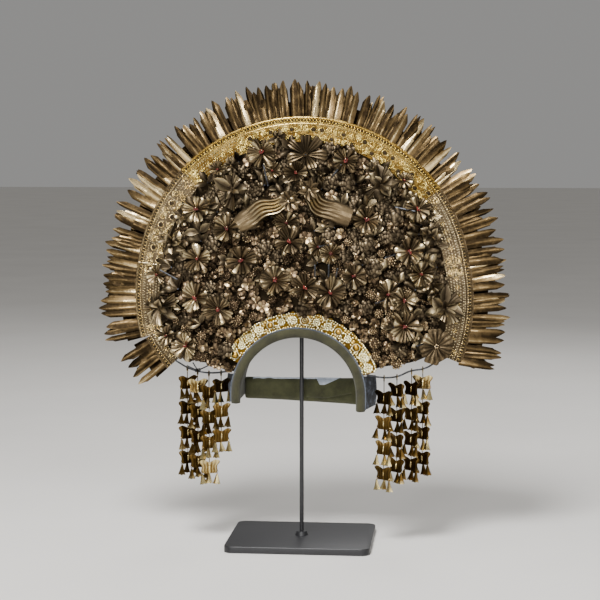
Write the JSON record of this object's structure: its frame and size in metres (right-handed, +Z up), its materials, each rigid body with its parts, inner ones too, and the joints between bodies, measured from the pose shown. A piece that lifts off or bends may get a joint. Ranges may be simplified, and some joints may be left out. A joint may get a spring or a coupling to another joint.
{
  "type": "bridal crown on a display stand",
  "caption": "Fan-shaped bridal crown of gilt sheet-metal flowers with a leaf-fringed halo, a beaded diadem, a padded head arch and strings of butterflies and bells, on a slim stand.",
  "frame": {"origin": "middle of the underside of the stand's base plate, where it rests on a table", "axes": "+Z up, front of the crown towards -Y, +X to the right as seen from the front"},
  "size_m": [0.4815, 0.14, 0.544],
  "materials": {
    "black_steel": "satin black paint",
    "tin": "dull tinned sheet and wire",
    "olive_cloth": "woven cotton",
    "dark_brass": "dark tarnish",
    "bright_gilt": "bright gilding",
    "pale_gilt": "pale worn gilding",
    "aged_gilt": "aged brown gilding",
    "orange_gilt": "deep yellow gilding"
  },
  "bodies": {
    "root": {"stand": "black_steel", "head_band": "tin", "front_roll": "olive_cloth", "back_bar": "olive_cloth", "fan_plate": "dark_brass", "diadem": "bright_gilt", "halo_01": "pale_gilt", "halo_02": "pale_gilt", "halo_03": "pale_gilt", "halo_04": "pale_gilt", "halo_05": "pale_gilt", "halo_06": "pale_gilt", "halo_07": "pale_gilt", "halo_08": "pale_gilt", "halo_09": "pale_gilt", "halo_10": "pale_gilt", "blossom_01": "aged_gilt", "blossom_02": "aged_gilt", "blossom_03": "aged_gilt", "blossom_04": "aged_gilt", "blossom_05": "aged_gilt", "blossom_06": "aged_gilt", "blossom_07": "aged_gilt", "blossom_08": "aged_gilt", "blossom_09": "aged_gilt", "blossom_10": "aged_gilt", "blossom_11": "aged_gilt", "blossom_12": "aged_gilt", "blossom_13": "aged_gilt", "blossom_14": "aged_gilt", "blossom_15": "aged_gilt", "blossom_16": "aged_gilt", "blossom_17": "aged_gilt", "blossom_18": "aged_gilt", "blossom_19": "aged_gilt", "blossom_20": "aged_gilt", "blossom_21": "aged_gilt", "blossom_22": "aged_gilt", "blossom_23": "aged_gilt", "blossom_24": "aged_gilt", "blossom_25": "aged_gilt", "blossom_26": "aged_gilt", "blossom_27": "aged_gilt", "blossom_28": "aged_gilt", "blossom_29": "aged_gilt", "blossom_30": "aged_gilt", "blossom_31": "aged_gilt", "bird_left": "aged_gilt", "bird_right": "aged_gilt", "side_wire_left": "tin", "side_wire_right": "tin", "pendant_l1": "orange_gilt", "pendant_l2": "orange_gilt", "pendant_l3": "orange_gilt", "pendant_l4": "orange_gilt", "pendant_r1": "orange_gilt", "pendant_r2": "orange_gilt", "pendant_r3": "orange_gilt", "pendant_r4": "orange_gilt"}
  },
  "joints": []
}
